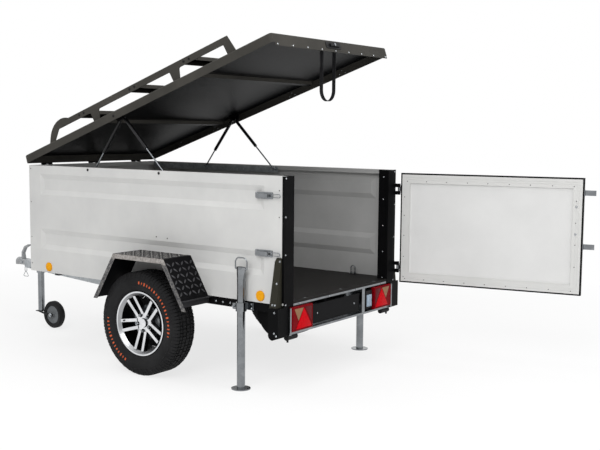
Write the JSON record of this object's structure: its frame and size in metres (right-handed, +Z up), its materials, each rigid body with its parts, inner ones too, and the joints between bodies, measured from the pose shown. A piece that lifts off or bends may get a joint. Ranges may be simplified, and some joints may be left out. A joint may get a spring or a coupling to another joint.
{
  "type": "enclosed box trailer",
  "caption": "Single-axle enclosed box trailer with a hinged lid and roof rack, side-hung rear door, V drawbar, jockey wheel and prop legs.",
  "frame": {"origin": "centre of the ball socket in the coupling head", "axes": "+X towards the towing vehicle, +Y to the left, +Z up"},
  "size_m": [4.3087, 1.6999, 2.0114],
  "materials": {
    "wall_sheet": "smooth light grey coat",
    "lid_coat": "textured black coat",
    "black_plate": "satin black coat",
    "galvanised": "hot-dip zinc",
    "zinc": "bright zinc plate",
    "deck_board": "dark film-faced board",
    "tyre": "matt black rubber",
    "alloy": "machined face",
    "rubber": "black rubber",
    "lamp_body": "black moulding",
    "lens": "red lens",
    "amber": "amber lens",
    "plate": "blank dark plate",
    "door_skin": "pale grey sheet",
    "door_core": "pale faced sandwich panel",
    "webbing": "black webbing",
    "strut_black": "gloss black tube",
    "rod": "ground rod",
    "wheel_plastic": "solid tyre on plastic hub"
  },
  "bodies": {
    "chassis": {"drawbar": "galvanised", "coupling_head": "zinc", "coupling_handle": "zinc", "safety_chain": "zinc", "cross_members": "galvanised", "rear_rails": "galvanised", "axle_beam": "galvanised", "swing_arms": "galvanised", "floor_panel": "deck_board", "wall_left": "wall_sheet", "wall_right": "wall_sheet", "wall_front": "wall_sheet", "lashing_rings": "zinc", "rear_posts": "black_plate", "corner_covers": "black_plate", "rear_beam": "galvanised", "rear_buffers": "rubber", "lamp_housings": "lamp_body", "lamp_lenses": "lens", "number_plate": "plate", "side_reflectors": "amber", "fenders": "black_plate", "leg_clamps": "zinc", "jockey_clamp": "zinc", "toggle_latches": "zinc", "post_hinges": "black_plate", "strut_rails": "galvanised", "lid_hinge_leaves": "black_plate"},
    "lid": {"lid_shell": "lid_coat", "lid_ribs": "lid_coat", "lid_hinge_barrels": "black_plate", "lid_lock": "black_plate", "pull_strap": "webbing", "strut_pivots": "galvanised", "rack_rails": "lid_coat", "rack_crossbars": "lid_coat"},
    "door": {"door_panel": "door_core", "door_frame": "door_skin", "door_edge": "black_plate", "door_fittings": "zinc"},
    "wheel_left": {"tyre_left": "tyre", "rim_left": "alloy", "hub_left": "galvanised"},
    "wheel_right": {"tyre_right": "tyre", "rim_right": "alloy", "hub_right": "galvanised"},
    "leg_left": {"leg_left": "galvanised"},
    "leg_right": {"leg_right": "galvanised"},
    "jockey_tube": {"jockey_tube": "galvanised"},
    "jockey_fork": {"jockey_fork": "galvanised"},
    "jockey_wheel": {"jockey_wheel": "wheel_plastic"},
    "strut_barrel_front_left": {"strut_barrel_front_left": "strut_black"},
    "strut_barrel_rear_left": {"strut_barrel_rear_left": "strut_black"},
    "strut_rod_front_left": {"strut_rod_front_left": "rod"},
    "strut_rod_rear_left": {"strut_rod_rear_left": "rod"},
    "strut_barrel_front_right": {"strut_barrel_front_right": "strut_black"},
    "strut_barrel_rear_right": {"strut_barrel_rear_right": "strut_black"},
    "strut_rod_front_right": {"strut_rod_front_right": "rod"},
    "strut_rod_rear_right": {"strut_rod_rear_right": "rod"}
  },
  "joints": [
    {"name": "lid_hinge", "type": "hinge", "parent": "chassis", "child": "lid", "pos_m": [-0.8605, 0, 0.805], "axis": [0, 1, 0], "range_deg": [-19, 0]},
    {"name": "door_hinge", "type": "hinge", "parent": "chassis", "child": "door", "pos_m": [-3.068, -0.617, 0.4], "axis": [0, 0, 1], "range_deg": [-101, 79]},
    {"name": "wheel_spin_left", "type": "hinge", "parent": "chassis", "child": "wheel_left", "pos_m": [-2.1, 0.707, -0.114], "axis": [0, 1, 0], "continuous": true},
    {"name": "wheel_spin_right", "type": "hinge", "parent": "chassis", "child": "wheel_right", "pos_m": [-2.1, -0.707, -0.114], "axis": [0, 1, 0], "continuous": true},
    {"name": "leg_slide_left", "type": "slide", "parent": "chassis", "child": "leg_left", "axis": [0, 0, 1], "range_m": [0, 0.42]},
    {"name": "leg_slide_right", "type": "slide", "parent": "chassis", "child": "leg_right", "axis": [0, 0, 1], "range_m": [0, 0.42]},
    {"name": "jockey_lift", "type": "slide", "parent": "chassis", "child": "jockey_tube", "axis": [0, 0, 1], "range_m": [0, 0.16]},
    {"name": "jockey_swivel", "type": "hinge", "parent": "jockey_tube", "child": "jockey_fork", "pos_m": [-0.465, 0.1754, -0.2], "axis": [0, 0, 1], "continuous": true},
    {"name": "jockey_spin", "type": "hinge", "parent": "jockey_fork", "child": "jockey_wheel", "pos_m": [-0.609, 0.1754, -0.33], "axis": [0, 1, 0], "continuous": true},
    {"name": "strut_turn_front_left", "type": "hinge", "parent": "lid", "child": "strut_barrel_front_left", "pos_m": [-1.7205, 0.546, 1.1117], "axis": [0, 1, 0], "range_deg": [-27.08, 0]},
    {"name": "strut_slide_front_left", "type": "slide", "parent": "strut_barrel_front_left", "child": "strut_rod_front_left", "axis": [0.6011, 0, -0.7992], "range_m": [-0.1131, 0]},
    {"name": "strut_turn_rear_left", "type": "hinge", "parent": "lid", "child": "strut_barrel_rear_left", "pos_m": [-1.74509, 0.546, 1.12016], "axis": [0, 1, 0], "range_deg": [0, 56.19]},
    {"name": "strut_slide_rear_left", "type": "slide", "parent": "strut_barrel_rear_left", "child": "strut_rod_rear_left", "axis": [-0.7149, 0, -0.6992], "range_m": [-0.1932, 0]},
    {"name": "strut_turn_front_right", "type": "hinge", "parent": "lid", "child": "strut_barrel_front_right", "pos_m": [-1.7205, -0.546, 1.1117], "axis": [0, 1, 0], "range_deg": [-27.08, 0]},
    {"name": "strut_slide_front_right", "type": "slide", "parent": "strut_barrel_front_right", "child": "strut_rod_front_right", "axis": [0.6011, 0, -0.7992], "range_m": [-0.1131, 0]},
    {"name": "strut_turn_rear_right", "type": "hinge", "parent": "lid", "child": "strut_barrel_rear_right", "pos_m": [-1.74509, -0.546, 1.12016], "axis": [0, 1, 0], "range_deg": [0, 56.19]},
    {"name": "strut_slide_rear_right", "type": "slide", "parent": "strut_barrel_rear_right", "child": "strut_rod_rear_right", "axis": [-0.7149, 0, -0.6992], "range_m": [-0.1932, 0]}
  ],
  "couplings": [
    {"joint": "strut_turn_front_left", "follows": "lid_hinge", "ratio": 1.4092},
    {"joint": "strut_slide_front_left", "follows": "lid_hinge", "m_per_rad": 0.33799},
    {"joint": "strut_turn_rear_left", "follows": "lid_hinge", "ratio": -2.9418},
    {"joint": "strut_slide_rear_left", "follows": "lid_hinge", "m_per_rad": 0.57955},
    {"joint": "strut_turn_front_right", "follows": "lid_hinge", "ratio": 1.4092},
    {"joint": "strut_slide_front_right", "follows": "lid_hinge", "m_per_rad": 0.33799},
    {"joint": "strut_turn_rear_right", "follows": "lid_hinge", "ratio": -2.9418},
    {"joint": "strut_slide_rear_right", "follows": "lid_hinge", "m_per_rad": 0.57955}
  ]
}
